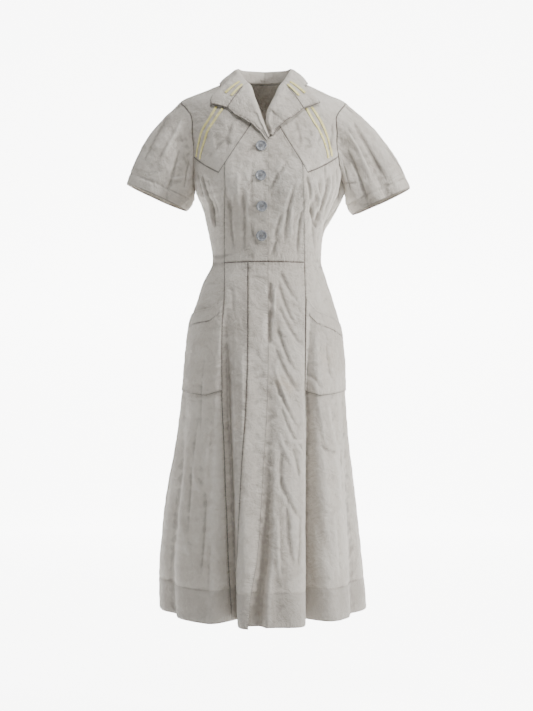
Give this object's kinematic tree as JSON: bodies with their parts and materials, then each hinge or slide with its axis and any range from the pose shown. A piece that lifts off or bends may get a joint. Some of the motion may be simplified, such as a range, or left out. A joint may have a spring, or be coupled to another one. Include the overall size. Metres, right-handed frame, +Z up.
{
  "type": "uniform smock dress",
  "caption": "Short-sleeved, front-buttoning cotton smock dress with a turned collar, front yokes, patch pockets and a flared skirt, in its worn, hollow form.",
  "frame": {"origin": "middle of the shoulders at the height of the neck points, where the wearer's shoulders carry the dress", "axes": "+Z up, -Y towards the front of the dress, +X towards the wearer's left"},
  "size_m": [0.6363, 0.4845, 1.2131],
  "materials": {
    "grey_cotton": "matt cotton twill, lightly wrinkled",
    "yellow_braid": "matt flat braid",
    "grey_button": "half-gloss moulded plastic"
  },
  "bodies": {
    "root": {"back_bodice": "grey_cotton", "back_skirt": "grey_cotton", "button_1": "grey_button", "button_2": "grey_button", "button_3": "grey_button", "button_4": "grey_button", "collar": "grey_cotton", "front_placket": "grey_cotton", "left_collar_braid_inner": "yellow_braid", "left_collar_braid_outer": "yellow_braid", "left_front_bodice": "grey_cotton", "left_front_skirt": "grey_cotton", "left_lapel": "grey_cotton", "left_pocket": "grey_cotton", "left_side_panel": "grey_cotton", "left_sleeve": "grey_cotton", "left_yoke": "grey_cotton", "left_yoke_braid_inner": "yellow_braid", "left_yoke_braid_outer": "yellow_braid", "right_collar_braid_inner": "yellow_braid", "right_collar_braid_outer": "yellow_braid", "right_front_bodice": "grey_cotton", "right_front_skirt": "grey_cotton", "right_lapel": "grey_cotton", "right_pocket": "grey_cotton", "right_side_panel": "grey_cotton", "right_sleeve": "grey_cotton", "right_yoke": "grey_cotton", "right_yoke_braid_inner": "yellow_braid", "right_yoke_braid_outer": "yellow_braid"}
  },
  "joints": []
}
